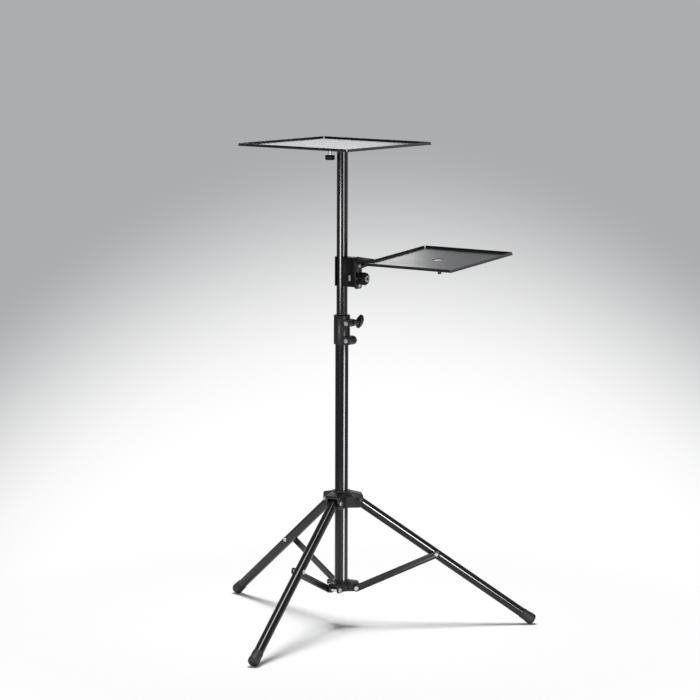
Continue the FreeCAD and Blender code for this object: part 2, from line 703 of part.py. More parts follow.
def side_edge(edge, outer, core):
    points = [v.Point for v in edge.Vertexes]
    outside = min(abs(p.y) for p in points) > outer - NEAR
    one_side = points[0].y * points[-1].y > 0
    return outside and one_side and max(p.x for p in points) > core * 0.5 + NEAR


# Bottom hub, closed under the mast
first_turn = num("leg_turn")
tripod_way = turned(first_turn)
base_x = size("base_pivot_radius")
base_z = size("base_pivot_height")
base_round = size("base_ear_round")
base_outer = size("brace_side") - size("brace_gap")
base_inner = base_outer - size("base_ear_thickness")
base_top = base_z + size("base_crown_rise")
core_radius = size("hub_core_radius")
base_web_drop = size("base_web_drop")
base_web = taper("base_web", size("base_web_reach"), core_radius - wall, base_web_drop,
                 at(0, 0, base_top - base_web_drop))
base_blank, base_holes = hub(
    "base", tube_bottom - size("base_floor"), base_top, size("base_arm_slope"), size("base_plate_thickness"),
    base_x, base_z, base_round, base_inner, base_outer, base_round, [base_web])
node(cut("bottom_hub", base_blank, base_holes + [
    rod("base_bore", lower_radius + fit, base_top - tube_bottom + PAST, at(0, 0, tube_bottom)),
]), "bottom_hub", tripod_way)

# Top hub, sliding on the lower tube, with a boss for its lock screw
hub_x = size("hub_pivot_radius")
hub_z = size("hub_pivot_height")
hub_inner = size("hub_ear_gap")
hub_outer = hub_inner + size("hub_ear_thickness")
hub_top = hub_z + size("hub_crown_rise")
sleeve_bottom = hub_z - size("hub_sleeve_drop")
lock_way = turned(num("lock_turn") - first_turn)
lock_z = hub_z + size("lock_rise")
lock_reach = size("lock_boss_reach")
boss_root = lower_radius + gap + fit
boss = rod("lock_boss", size("lock_boss_radius"), lock_reach - boss_root,
           lock_way * along(boss_root, 0, lock_z, AHEAD))
hub_web_drop = size("hub_web_drop")
hub_web = taper("crown_web", size("hub_web_reach"), core_radius - wall, hub_web_drop,
                at(0, 0, hub_top - hub_web_drop))
top_blank, top_holes = hub(
    "crown", sleeve_bottom, hub_top, size("hub_arm_slope"), size("hub_plate_thickness"), hub_x, hub_z,
    size("hub_ear_drop"), hub_inner, hub_outer, size("hub_ear_round"), [boss, hub_web])
node(cut("top_hub", top_blank, top_holes + [
    rod("crown_bore", lower_radius + gap, hub_top - sleeve_bottom + 2 * PAST, at(0, 0, sleeve_bottom - PAST)),
    rod("lock_way_hole", stud + fit, lock_reach + PAST, lock_way * along(0, 0, lock_z, AHEAD)),
]), "top_hub", tripod_way)
lock_start = lower_radius + gap
node(rod("lock_stud_rod", stud, lock_reach - lock_start, lock_way * along(lock_start, 0, lock_z, AHEAD)),
     "lock_stud", tripod_way)
node(knob("lock_grip", size("lock_knob_radius"), size("lock_knob_length"), size("knob_neck")), "lock_knob",
     tripod_way * lock_way * along(lock_reach, 0, lock_z, AHEAD))

# Legs, feet, braces and their pins, three times round the mast
leg_radius = size("leg_diameter") * 0.5
foot_stand = size("foot_stand")
foot_neck = size("foot_neck_radius")
foot_flare = size("foot_flare_radius")
foot_corner = size("foot_corner")
foot_length = size("foot_length")
rivet = size("rivet_radius")
rivet_head = size("rivet_head_radius")
rivet_high = size("rivet_head_height")
brace_side = size("brace_side")
brace_thick = size("brace_thickness")
brace_half = size("brace_width") * 0.5
brace_place = size("brace_place")
overhang = size("leg_overhang")
foot_run = num("foot_reach") - float(hub_x)
foot_fall = float(hub_z) - float(foot_stand)
leg_length = math.hypot(foot_run, foot_fall)
leg_lean = math.degrees(math.atan2(foot_run, foot_fall))
leg_frame = Placement(Vector(float(hub_x), 0, float(hub_z)), Rotation(LEFT, 180 - leg_lean))
rivet_point = leg_frame.multVec(Vector(0, 0, float(brace_place)))
brace_run = rivet_point.x - float(base_x)
brace_climb = rivet_point.z - float(base_z)
brace_length = math.hypot(brace_run, brace_climb)
brace_lift = math.degrees(math.atan2(brace_climb, brace_run))
brace_frame = Placement(Vector(float(base_x), 0, float(base_z)), Rotation(RIGHT, brace_lift))
tube_run = leg_length - num("foot_floor")
lean_sine = math.sin(math.radians(leg_lean))
lean_cosine = math.cos(math.radians(leg_lean))
foot_end = foot_corner + (foot_stand - foot_corner - (foot_flare - foot_corner) * lean_sine) * (1 / lean_cosine)
brace_outer = brace_side + brace_thick


# The round edge at a radius and a height
def rim_edge(edge, radius, height):
    point = edge.Vertexes[0].Point
    on_radius = abs(math.hypot(point.x, point.y) - float(radius)) < NEAR
    return on_radius and abs(point.z - float(height)) < NEAR and edge.Length > float(radius)


for index, side in enumerate(("right", "rear", "front")):
    way = turned(first_turn + 120 * index)
    tag = "leg_" + side
    node(cut(tag, rod(tag + "_skin", leg_radius, overhang + tube_run, at(0, 0, -overhang)), [
        rod(tag + "_bore", leg_radius - wall, overhang + tube_run + 2 * PAST, at(0, 0, -overhang - PAST)),
        rod(tag + "_pivot_hole", stud + gap, (leg_radius + PAST) * 2, along(0, -leg_radius - PAST, 0, LEFT)),
        rod(tag + "_rivet_hole", rivet + fit, (leg_radius + PAST) * 2,
            along(0, -leg_radius - PAST, brace_place, LEFT)),
    ]), tag, way * leg_frame)
    boot = spun("foot_%s_boot" % side, (
        (0, -foot_length),
        (foot_neck, -foot_length),
        (foot_neck, foot_length * -0.55),
        (foot_flare, foot_length * -0.12),
        (foot_flare, foot_end),
        (0, foot_end),
    ))
    sole = rounded("foot_%s_rim" % side, boot, foot_corner, lambda edge: rim_edge(edge, foot_flare, foot_end))
    node(cut("foot_" + side, sole, [
        rod("foot_%s_socket" % side, leg_radius + fit, foot_length + PAST - size("foot_floor"),
            at(0, 0, -foot_length - PAST)),
    ]), "foot_" + side, way * leg_frame * at(0, 0, leg_length))
    bolt_head = stud * 1.35
    node(fuse("pivot_bolt_%s_whole" % side, [
        rod("pivot_bolt_%s_rod" % side, stud, hub_outer * 2, along(hub_x, -hub_outer, hub_z, LEFT)),
        taper("pivot_bolt_%s_head" % side, bolt_head, bolt_head * 0.8, rivet_high,
              along(hub_x, hub_outer, hub_z, LEFT)),
        taper("pivot_bolt_%s_tail" % side, bolt_head, bolt_head * 0.8, rivet_high,
              along(hub_x, -hub_outer, hub_z, RIGHT)),
    ]), "pivot_bolt_" + side, way)
    spacer = brace_side - gap
    node(fuse("leg_rivet_%s_whole" % side, [
        rod("leg_rivet_%s_pin" % side, rivet, spacer + leg_radius, along(0, -spacer, brace_place, LEFT)),
        rod("leg_rivet_%s_collar" % side, rivet_head, spacer - leg_radius,
            along(0, -spacer, brace_place, LEFT)),
        taper("leg_rivet_%s_head" % side, rivet_head, rivet_head * 0.8, rivet_high,
              along(0, leg_radius, brace_place, LEFT)),
    ]), "leg_rivet_" + side, way * leg_frame)
    bar = "brace_" + side
    node(cut(bar, fuse(bar + "_blank", [
        block(bar + "_web", 0, brace_length, -brace_outer, -brace_side, -brace_half, brace_half),
        rod(bar + "_foot", brace_half, brace_thick, along(0, -brace_outer, 0, LEFT)),
        rod(bar + "_head", brace_half, brace_thick, along(brace_length, -brace_outer, 0, LEFT)),
    ]), [
        rod(bar + "_axle_hole", stud + gap, brace_thick + 2 * PAST, along(0, -brace_outer - PAST, 0, LEFT)),
        rod(bar + "_rivet_hole", rivet + fit, brace_thick + 2 * PAST,
            along(brace_length, -brace_outer - PAST, 0, LEFT)),
    ]), bar, way * brace_frame)
    dimple = size("dimple_radius")
    dent = size("dimple_depth")
    node(cut("brace_rivet_" + side, fuse("brace_rivet_%s_whole" % side, [
        rod("brace_rivet_%s_pin" % side, rivet, brace_thick, along(brace_length, -brace_outer, 0, LEFT)),
        taper("brace_rivet_%s_head" % side, rivet_head, rivet_head * 0.8, rivet_high,
              along(brace_length, -brace_outer, 0, RIGHT)),
    ]), [
        rod("brace_rivet_%s_dimple" % side, dimple, dent,
            along(brace_length, -brace_outer - rivet_high, 0, LEFT)),
    ]), "brace_rivet_" + side, way * brace_frame)
    axle_start = brace_outer + gap
    axle_head = stud * 1.4
    node(cut("brace_axle_" + side, fuse("brace_axle_%s_whole" % side, [
        rod("brace_axle_%s_rod" % side, stud, axle_start + base_outer,
            along(base_x, -axle_start, base_z, LEFT)),
        taper("brace_axle_%s_head" % side, axle_head, axle_head * 0.8, rivet_high,
              along(base_x, -axle_start, base_z, RIGHT)),
        taper("brace_axle_%s_tail" % side, axle_head, axle_head * 0.8, rivet_high,
              along(base_x, base_outer, base_z, LEFT)),
    ]), [
        rod("brace_axle_%s_dimple" % side, dimple, dent, along(base_x, -axle_start - rivet_high, base_z, LEFT)),
    ]), "brace_axle_" + side, way)

# Every object is sound before any file is written
doc.recompute()
for item in doc.Objects:
    if "Invalid" in item.State or "Error" in item.State:
        raise RuntimeError("failed: " + item.Name)
for item in NODES:
    if item.Shape.isNull() or not item.Shape.isValid():
        raise RuntimeError("unsound shape: " + item.Label)
    if len(item.Shape.Solids) != 1:
        raise RuntimeError("not one solid: %s %d" % (item.Label, len(item.Shape.Solids)))
for item in NODES:
    item.Shape.exportStep("parts/%s.step" % item.Label)
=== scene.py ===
"""Looks of a tripod laptop stand: a square platform and a side tray on a folding tube tripod."""
import json
import math

import bmesh
import bpy
from mathutils import Matrix, Vector

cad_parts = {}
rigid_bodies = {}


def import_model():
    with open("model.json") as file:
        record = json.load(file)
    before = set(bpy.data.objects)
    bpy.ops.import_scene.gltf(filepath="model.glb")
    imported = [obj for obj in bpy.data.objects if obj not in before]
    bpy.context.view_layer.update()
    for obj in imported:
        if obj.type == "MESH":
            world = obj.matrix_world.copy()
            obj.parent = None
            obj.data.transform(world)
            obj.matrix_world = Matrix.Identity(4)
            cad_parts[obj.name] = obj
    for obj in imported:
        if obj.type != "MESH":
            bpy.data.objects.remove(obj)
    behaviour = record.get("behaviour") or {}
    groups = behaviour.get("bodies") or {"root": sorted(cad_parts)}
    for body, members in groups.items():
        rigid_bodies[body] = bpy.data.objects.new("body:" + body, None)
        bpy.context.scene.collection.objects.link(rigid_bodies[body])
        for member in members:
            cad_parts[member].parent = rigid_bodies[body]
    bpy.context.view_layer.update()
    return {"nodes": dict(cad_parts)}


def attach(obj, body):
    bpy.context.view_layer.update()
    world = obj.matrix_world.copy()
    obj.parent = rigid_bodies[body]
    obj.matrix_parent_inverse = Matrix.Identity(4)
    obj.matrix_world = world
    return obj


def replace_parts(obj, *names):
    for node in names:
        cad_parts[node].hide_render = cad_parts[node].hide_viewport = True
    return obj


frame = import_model()
solid = frame["nodes"]
bpy.context.scene.view_settings.view_transform = "Standard"

# Mast tubes. Two drawn steel tubes that telescope, in a gloss black powder coat baked on before assembly.
# The coat flows almost flat as it melts, so a lamp draws one thin clean line down each tube.
PER_MM = 1000.0


def linear(code):
    """An sRGB hex colour as the linear colour that a socket takes."""
    shares = [int(code[i:i + 2], 16) / 255 for i in (1, 3, 5)]
    return tuple(s / 12.92 if s <= 0.04045 else ((s + 0.055) / 1.055) ** 2.4 for s in shares) + (1.0,)


def add(tree, kind, feeds, **settings):
    """Adds one node with its settings; each feed is a value for an input, or another node's output."""
    made = tree.nodes.new(kind)
    for key, value in settings.items():
        setattr(made, key, value)
    for place, feed in feeds.items():
        if isinstance(feed, bpy.types.NodeSocket):
            tree.links.new(feed, made.inputs[place])
        else:
            made.inputs[place].default_value = feed
    return made


def material_start(name):
    """An empty material with its tree and its object coordinates."""
    made = bpy.data.materials.new(name)
    made.use_nodes = True
    made.node_tree.nodes.clear()
    tree = made.node_tree
    place = add(tree, "ShaderNodeTexCoord", {}).outputs["Object"]
    return made, tree, place


def material_end(tree, shader):
    """Sends the finished shader to the surface."""
    add(tree, "ShaderNodeOutputMaterial", {"Surface": shader.outputs[0]})


def coat(names, finish):
    """Gives CAD nodes a finish without touching their shape."""
    for name in names:
        for part in solid[name].material_slots:
            part.material = finish


tube_coat, tree, place = material_start("gloss_powder_coated_steel")
peel = add(tree, "ShaderNodeTexNoise", {"Vector": place, "Scale": PER_MM / 22, "Detail": 0.0})
cloud = add(tree, "ShaderNodeTexNoise", {"Vector": place, "Scale": PER_MM / 45, "Detail": 1.0})
gloss = add(tree, "ShaderNodeMapRange", {"Value": cloud.outputs[0], "To Min": 0.09, "To Max": 0.12})
shade = add(tree, "ShaderNodeMix", {0: cloud.outputs[0], 6: linear("#0b090c"), 7: linear("#141216")},
            data_type="RGBA")
relief = add(tree, "ShaderNodeBump", {"Height": peel.outputs[0], "Strength": 0.015, "Distance": 0.0002})
material_end(tree, add(tree, "ShaderNodeBsdfPrincipled", {
    "Base Color": shade.outputs[2], "Roughness": gloss.outputs[0], "Normal": relief.outputs[0],
    "IOR": 1.42}))
coat(["lower_tube", "upper_tube"], tube_coat)

# Bottom hub. Black glass-filled nylon, injection moulded, pushed onto the foot of the lower tube.
# Moulding leaves rounded edges and a fine spark-eroded grain that scatters light.
MOULDED_EDGE = 0.0009
EDGE_SEGMENTS = 2
EDGE_ANGLE = 40
SMOOTH_ANGLE = 32
FLAT_ANGLE = 1
MERGE_DISTANCE = 1e-6
hub_nylon, tree, place = material_start("glass_filled_nylon")
grain = add(tree, "ShaderNodeTexNoise", {"Vector": place, "Scale": PER_MM / 0.9, "Detail": 3.0})
flow = add(tree, "ShaderNodeTexNoise", {
    "Vector": place, "Scale": PER_MM / 18, "Detail": 3.0, "Distortion": 0.6})
dull = add(tree, "ShaderNodeMapRange", {"Value": flow.outputs[0], "To Min": 0.3, "To Max": 0.44})
shade = add(tree, "ShaderNodeMix", {0: flow.outputs[0], 6: linear("#0c0c0e"), 7: linear("#151417")},
            data_type="RGBA")
relief = add(tree, "ShaderNodeBump", {"Height": grain.outputs[0], "Strength": 0.25, "Distance": 0.0002})
material_end(tree, add(tree, "ShaderNodeBsdfPrincipled", {
    "Base Color": shade.outputs[2], "Roughness": dull.outputs[0], "Normal": relief.outputs[0], "IOR": 1.53,
    "Specular IOR Level": 0.4}))


def piece_of(name, mesh, finish, body):
    """Links a finished mesh as a piece that rides on a body."""
    made = bpy.data.objects.new(name, mesh)
    bpy.context.scene.collection.objects.link(made)
    mesh.materials.clear()
    mesh.materials.append(finish)
    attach(made, body)
    return made


def smooth(mesh):
    """Smooth shading that breaks where faces meet at a sharp edge."""
    mesh.shade_smooth()
    mesh.set_sharp_from_angle(angle=math.radians(SMOOTH_ANGLE))


def softened(name, width, finish, body):
    """A merged copy of a solid with its sharp edges rounded over; it stands for the solid."""
    work = bmesh.new()
    work.from_mesh(solid[name].data)
    bmesh.ops.remove_doubles(work, verts=work.verts, dist=MERGE_DISTANCE)
    bmesh.ops.dissolve_limit(work, angle_limit=math.radians(FLAT_ANGLE), verts=work.verts, edges=work.edges)
    work.verts.index_update()
    mesh = bpy.data.meshes.new(name + "_soft")
    mesh.from_pydata([v.co.copy() for v in work.verts], [], [[v.index for v in f.verts] for f in work.faces])
    work.free()
    made = piece_of(name + "_soft", mesh, finish, body)
    edge = made.modifiers.new("rounded edges", "BEVEL")
    edge.width = width
    edge.segments = EDGE_SEGMENTS
    edge.limit_method = "ANGLE"
    edge.angle_limit = math.radians(EDGE_ANGLE)
    edge.miter_outer = "MITER_ARC"
    baked = bpy.data.meshes.new_from_object(made.evaluated_get(bpy.context.evaluated_depsgraph_get()))
    made.modifiers.clear()
    made.data = baked
    smooth(baked)
    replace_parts(made, name)
    return made


softened("bottom_hub", MOULDED_EDGE, hub_nylon, "base")

# Pins. Zinc-plated steel axles, bolts, rivets and nuts, turned and then tumbled bright.
# The plating is a little hazy, with fine scratches round each head.
SIDES = ("right", "rear", "front")
plated, tree, place = material_start("zinc_plated_steel")
haze = add(tree, "ShaderNodeTexNoise", {"Vector": place, "Scale": PER_MM / 3, "Detail": 4.0})
scratch = add(tree, "ShaderNodeTexNoise", {"Vector": place, "Scale": PER_MM / 0.7, "Detail": 2.0})
gloss = add(tree, "ShaderNodeMapRange", {"Value": haze.outputs[0], "To Min": 0.28, "To Max": 0.46})
shade = add(tree, "ShaderNodeMix", {0: haze.outputs[0], 6: linear("#b9bcc0"), 7: linear("#dcdee1")},
            data_type="RGBA")
relief = add(tree, "ShaderNodeBump", {"Height": scratch.outputs[0], "Strength": 0.1, "Distance": 0.0001})
material_end(tree, add(tree, "ShaderNodeBsdfPrincipled", {
    "Base Color": shade.outputs[2], "Metallic": 1.0, "Roughness": gloss.outputs[0],
    "Normal": relief.outputs[0]}))
for pin in ("brace_axle_", "leg_rivet_", "brace_rivet_", "pivot_bolt_"):
    coat([pin + side for side in SIDES], plated)

# Top hub. The same nylon, a sliding sleeve with three sloping arms that are slotted for the legs.
# A screw through a boss at its back locks it on the lower tube.
softened("top_hub", MOULDED_EDGE, hub_nylon, "crown")
coat(["lock_stud"], plated)

# Legs. Drawn steel tube in the same gloss coat as the mast.
# Each is pinned by a bolt between the two ears of an arm of the top hub.
coat(["leg_" + side for side in SIDES], tube_coat)

# Leg nuts. Flange nuts, cold forged from steel and black oxided, run up on the pivot bolts.
# One sits against the same side of each arm of the top hub; the oxide is a dark skin that glints on edges.
LEG_TURN = 4.5
LEG_PIVOT = (0.039, 0.0, 0.2937)
EAR_FACE = 0.0175
NUT_RADIUS = 0.0068
NUT_HEIGHT = 0.0046
NUT_FLANGE = 0.0083
NUT_SEAT = 0.0014
BOLT_END = 0.0033
BOLT_REACH = 0.0056
FORGED_EDGE = 0.0003
NUT_FLATS = 6
FLANGE_STEPS = 48
BOLT_STEPS = 24
oxide, tree, place = material_start("black_oxide_steel")
bloom = add(tree, "ShaderNodeTexNoise", {"Vector": place, "Scale": PER_MM / 4, "Detail": 3.0})
gloss = add(tree, "ShaderNodeMapRange", {"Value": bloom.outputs[0], "To Min": 0.28, "To Max": 0.42})
shade = add(tree, "ShaderNodeMix", {0: bloom.outputs[0], 6: linear("#29292c"), 7: linear("#3e3e42")},
            data_type="RGBA")
material_end(tree, add(tree, "ShaderNodeBsdfPrincipled", {
    "Base Color": shade.outputs[2], "Metallic": 1.0, "Roughness": gloss.outputs[0]}))


def tree_start(name, **inputs):
    """A geometry tree with named inputs, one of them the finish, and one geometry output."""
    tree = bpy.data.node_groups.new(name, "GeometryNodeTree")
    tree.interface.new_socket("Geometry", in_out="OUTPUT", socket_type="NodeSocketGeometry")
    for label, kind in inputs.items():
        tree.interface.new_socket(label, in_out="INPUT", socket_type="NodeSocket" + kind)
    tree.interface.new_socket("Finish", in_out="INPUT", socket_type="NodeSocketMaterial")
    return tree, add(tree, "NodeGroupInput", {}).outputs


def tree_end(tree, given, shape):
    """Makes the instances real, gives them the finish and sends them out."""
    whole = add(tree, "GeometryNodeRealizeInstances", {"Geometry": shape.outputs[0]})
    dressed = add(tree, "GeometryNodeSetMaterial", {
        "Geometry": whole.outputs[0], "Material": given["Finish"]})
    add(tree, "NodeGroupOutput", {"Geometry": dressed.outputs[0]})


def grown(tree, name, finish, rounding=0.0, **values):
    """The plain mesh that a geometry tree makes from these sizes, with its edges rounded if asked."""
    host = bpy.data.objects.new(name, bpy.data.meshes.new(name))
    bpy.context.scene.collection.objects.link(host)
    maker = host.modifiers.new(tree.name, "NODES")
    maker.node_group = tree
    sockets = {item.name: item.identifier for item in tree.interface.items_tree if item.in_out == "INPUT"}
    maker[sockets["Finish"]] = finish
    for label, value in values.items():
        maker[sockets[label]] = value
    if rounding:
        edge = host.modifiers.new("rounded edges", "BEVEL")
        edge.width = rounding
        edge.segments = EDGE_SEGMENTS
    mesh = bpy.data.meshes.new_from_object(host.evaluated_get(bpy.context.evaluated_depsgraph_get()))
    host.modifiers.clear()
    bpy.data.objects.remove(host)
    smooth(mesh)
    return mesh


nut_tree, given = tree_start("flange_nuts", Count="Int", First="Float", Place="Vector", Flange="Float",
                             Seat="Float", Corner="Float", Height="Float", Bolt="Float", Reach="Float")
stack = add(nut_tree, "GeometryNodeJoinGeometry", {})
nut_layers = ((FLANGE_STEPS, "Flange", "Seat"), (NUT_FLATS, "Corner", "Height"),
              (BOLT_STEPS, "Bolt", "Reach"))
for sides, radius, depth in nut_layers:
    block = add(nut_tree, "GeometryNodeMeshCylinder", {
        "Vertices": sides, "Radius": given[radius], "Depth": given[depth]})
    half = add(nut_tree, "ShaderNodeMath", {0: given[depth], 1: 0.5}, operation="MULTIPLY")
    lift = add(nut_tree, "ShaderNodeCombineXYZ", {2: half.outputs[0]})
    block = add(nut_tree, "GeometryNodeTransform", {
        "Geometry": block.outputs[0], "Translation": lift.outputs[0]})
    nut_tree.links.new(block.outputs[0], stack.inputs[0])
nut = add(nut_tree, "GeometryNodeTransform", {
    "Geometry": stack.outputs[0], "Translation": given["Place"], "Rotation": (math.pi / 2, 0, 0)})
spots = add(nut_tree, "GeometryNodeMeshLine", {"Count": given["Count"], "Offset": (0, 0, 0)})
order = add(nut_tree, "GeometryNodeInputIndex", {})
turn = add(nut_tree, "ShaderNodeMath", {0: order.outputs[0], 1: 2 * math.pi / len(SIDES), 2: given["First"]},
           operation="MULTIPLY_ADD")
turn = add(nut_tree, "ShaderNodeCombineXYZ", {2: turn.outputs[0]})
tree_end(nut_tree, given, add(nut_tree, "GeometryNodeInstanceOnPoints", {
    "Points": spots.outputs[0], "Instance": nut.outputs[0], "Rotation": turn.outputs[0]}))
mesh = grown(nut_tree, "leg_nuts", oxide, rounding=FORGED_EDGE, Count=len(SIDES),
             First=math.radians(LEG_TURN), Place=(LEG_PIVOT[0], -EAR_FACE, LEG_PIVOT[2]), Flange=NUT_FLANGE,
             Seat=NUT_SEAT, Corner=NUT_RADIUS, Height=NUT_HEIGHT, Bolt=BOLT_END, Reach=BOLT_REACH)
piece_of("leg_nuts", mesh, oxide, "crown")

# Feet. Black rubber boots, compression moulded and pushed over the leg ends.
# The neck has grip ribs, the toe flares, and the flat sole carries rings that hold the floor.
# Rubber is matt, slightly dusty, and shows almost no highlight.
FOOT_STAND = 0.0124
FOOT_NECK = 0.0118
FOOT_FLARE = 0.013
FOOT_CORNER = 0.005
FOOT_SKIRT = 0.026
FOOT_SOCKET = 0.01105
FOOT_REACH = 0.4377
SOCKET_FLOOR = 0.018
SKIRT_EDGE_IN = 0.0003
SKIRT_EDGE_UP = 0.0004
FLARE_START = 0.55
FLARE_LENGTH = 0.43
CURVE_STEPS = 8
BOOT_STEPS = 64
RIB_COUNT = 4
RIB_START = 0.0022
RIB_SIZE = 0.00045
RIB_STEP = 0.0031
RING_STEPS = 48
BEAD_STEPS = 8
SOLE_COUNT = 3
SOLE_RING = 0.0025
SOLE_BEAD = 0.0006
rubber, tree, place = material_start("moulded_rubber")
dust = add(tree, "ShaderNodeTexNoise", {"Vector": place, "Scale": PER_MM / 6, "Detail": 5.0})
pores = add(tree, "ShaderNodeTexNoise", {"Vector": place, "Scale": PER_MM / 0.8, "Detail": 2.0})
shade = add(tree, "ShaderNodeMix", {0: dust.outputs[0], 6: linear("#101011"), 7: linear("#1d1d1e")},
            data_type="RGBA")
relief = add(tree, "ShaderNodeBump", {"Height": pores.outputs[0], "Strength": 0.3, "Distance": 0.0002})
material_end(tree, add(tree, "ShaderNodeBsdfPrincipled", {
    "Base Color": shade.outputs[2], "Roughness": 0.55, "Normal": relief.outputs[0], "IOR": 1.52}))


def lathe(name, profile, steps, radius_at=None):
    """Turns a profile of (radius, height) about Z; radius_at may flute it by angle and height."""
    work = bmesh.new()
    rings = []
    for radius, height in profile:
        if radius == 0:
            rings.append([work.verts.new((0, 0, height))])
            continue
        ring = []
        for step in range(steps):
            angle = 2 * math.pi * step / steps
            reach = radius_at(radius, height, angle) if radius_at else radius
            ring.append(work.verts.new((reach * math.cos(angle), reach * math.sin(angle), height)))
        rings.append(ring)
    for low, high in zip(rings, rings[1:]):
        for step in range(steps):
            ahead = (step + 1) % steps
            lower = [low[step % len(low)], low[ahead % len(low)]]
            upper = [high[ahead % len(high)], high[step % len(high)]]
            unique = list(dict.fromkeys(lower + upper))
            if len(unique) > 2:
                work.faces.new(unique)
    bmesh.ops.recalc_face_normals(work, faces=work.faces)
    mesh = bpy.data.meshes.new(name)
    work.to_mesh(mesh)
    work.free()
    smooth(mesh)
    return mesh


def merged(name, meshes):
    """One mesh that holds several."""
    work = bmesh.new()
    for mesh in meshes:
        work.from_mesh(mesh)
    whole = bpy.data.meshes.new(name)
    work.to_mesh(whole)
    work.free()
    smooth(whole)
    return whole


ring_tree, given = tree_start("moulded_rings", Count="Int", Start="Vector", Step="Vector", Radius="Float",
                              Thickness="Float", Spread="Float")
spots = add(ring_tree, "GeometryNodeMeshLine", {
    "Count": given["Count"], "Start Location": given["Start"], "Offset": given["Step"]})
hoop = add(ring_tree, "GeometryNodeCurvePrimitiveCircle", {
    "Resolution": RING_STEPS, "Radius": given["Radius"]})
bead = add(ring_tree, "GeometryNodeCurvePrimitiveCircle", {
    "Resolution": BEAD_STEPS, "Radius": given["Thickness"]})
ring = add(ring_tree, "GeometryNodeCurveToMesh", {
    "Curve": hoop.outputs[0], "Profile Curve": bead.outputs[0]})
order = add(ring_tree, "GeometryNodeInputIndex", {})
wider = add(ring_tree, "ShaderNodeMath", {0: order.outputs[0], 1: given["Spread"], 2: 1.0},
            operation="MULTIPLY_ADD")
spread = add(ring_tree, "ShaderNodeCombineXYZ", {0: wider.outputs[0], 1: wider.outputs[0], 2: 1.0})
tree_end(ring_tree, given, add(ring_tree, "GeometryNodeInstanceOnPoints", {
    "Points": spots.outputs[0], "Instance": ring.outputs[0], "Scale": spread.outputs[0]}))

leg_run = FOOT_REACH - LEG_PIVOT[0]
leg_fall = LEG_PIVOT[2] - FOOT_STAND
leg_lean = math.atan2(leg_run, leg_fall)
leg_length = math.hypot(leg_run, leg_fall)
toe_low = (FOOT_FLARE - FOOT_CORNER) * math.sin(leg_lean)
toe = FOOT_CORNER + (FOOT_STAND - FOOT_CORNER - toe_low) / math.cos(leg_lean)
boot_profile = [(FOOT_SOCKET, -SOCKET_FLOOR), (FOOT_SOCKET, -FOOT_SKIRT),
                (FOOT_NECK - SKIRT_EDGE_IN, -FOOT_SKIRT), (FOOT_NECK, SKIRT_EDGE_UP - FOOT_SKIRT),
                (FOOT_NECK, -FLARE_START * FOOT_SKIRT)]
for step in range(1, CURVE_STEPS + 1):
    share = step / CURVE_STEPS
    flare = share * share * (3 - 2 * share)
    along = (-FLARE_START + FLARE_LENGTH * share) * FOOT_SKIRT
    boot_profile.append((FOOT_NECK + (FOOT_FLARE - FOOT_NECK) * flare, along))
for step in range(CURVE_STEPS + 1):
    bow = math.pi / 2 * step / CURVE_STEPS
    across = FOOT_FLARE - FOOT_CORNER * (1 - math.cos(bow))
    boot_profile.append((across, toe - FOOT_CORNER * (1 - math.sin(bow))))
boot_profile.append((0, toe))
for index, side in enumerate(SIDES):
    turn = Matrix.Rotation(math.radians(LEG_TURN + 360 / len(SIDES) * index), 4, "Z")
    lean = Matrix.Rotation(math.pi - leg_lean, 4, "Y")
    leg_end = turn @ Matrix.Translation(LEG_PIVOT) @ lean @ Matrix.Translation((0, 0, leg_length))
    mesh = merged("boot_" + side, [
        lathe("boot_turned", boot_profile, BOOT_STEPS),
        grown(ring_tree, "boot_ribs", rubber, Count=RIB_COUNT, Start=(0, 0, RIB_START - FOOT_SKIRT),
              Step=(0, 0, RIB_STEP), Radius=FOOT_NECK, Thickness=RIB_SIZE, Spread=0.0),
        grown(ring_tree, "sole_rings", rubber, Count=SOLE_COUNT, Start=(0, 0, toe), Step=(0, 0, 0),
              Radius=SOLE_RING, Thickness=SOLE_BEAD, Spread=1.0),
    ])
    mesh.transform(leg_end)
    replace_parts(piece_of("boot_" + side, mesh, rubber, "leg_body_" + side), "foot_" + side)

# Braces. Flat steel bar, sheared, with rounded ends and pierced at each end, in a satin coat.
# An axle holds each to the bottom hub and a rivet to its leg.
SHEARED_EDGE = 0.0005
bar_coat, tree, place = material_start("satin_powder_coated_bar")
peel = add(tree, "ShaderNodeTexNoise", {"Vector": place, "Scale": PER_MM / 2, "Detail": 2.0})
cloud = add(tree, "ShaderNodeTexNoise", {"Vector": place, "Scale": PER_MM / 30, "Detail": 4.0})
gloss = add(tree, "ShaderNodeMapRange", {"Value": cloud.outputs[0], "To Min": 0.26, "To Max": 0.38})
shade = add(tree, "ShaderNodeMix", {0: cloud.outputs[0], 6: linear("#101012"), 7: linear("#19191b")},
            data_type="RGBA")
relief = add(tree, "ShaderNodeBump", {"Height": peel.outputs[0], "Strength": 0.08, "Distance": 0.0002})
material_end(tree, add(tree, "ShaderNodeBsdfPrincipled", {
    "Base Color": shade.outputs[2], "Roughness": gloss.outputs[0], "Normal": relief.outputs[0], "IOR": 1.5}))
for side in SIDES:
    softened("brace_" + side, SHEARED_EDGE, bar_coat, "brace_body_" + side)

# Height collar. Moulded nylon split sleeve, fixed on the lower tube and sliding on the upper one.
# A wing bolt through its upper lugs holds the height, and a plain bolt pinches the lower end.
HANDLE_EDGE = 0.0012
softened("height_collar", MOULDED_EDGE, hub_nylon, "base")
softened("wing_handle", HANDLE_EDGE, hub_nylon, "base")
coat(["wing_bolt", "pinch_bolt"], plated)

# Retaining button. A steel button on a spring in the upper tube, coated with it.
# It stands a little proud of its hole and stops the tube from being drawn through its fittings.
coat(["retaining_button"], tube_coat)

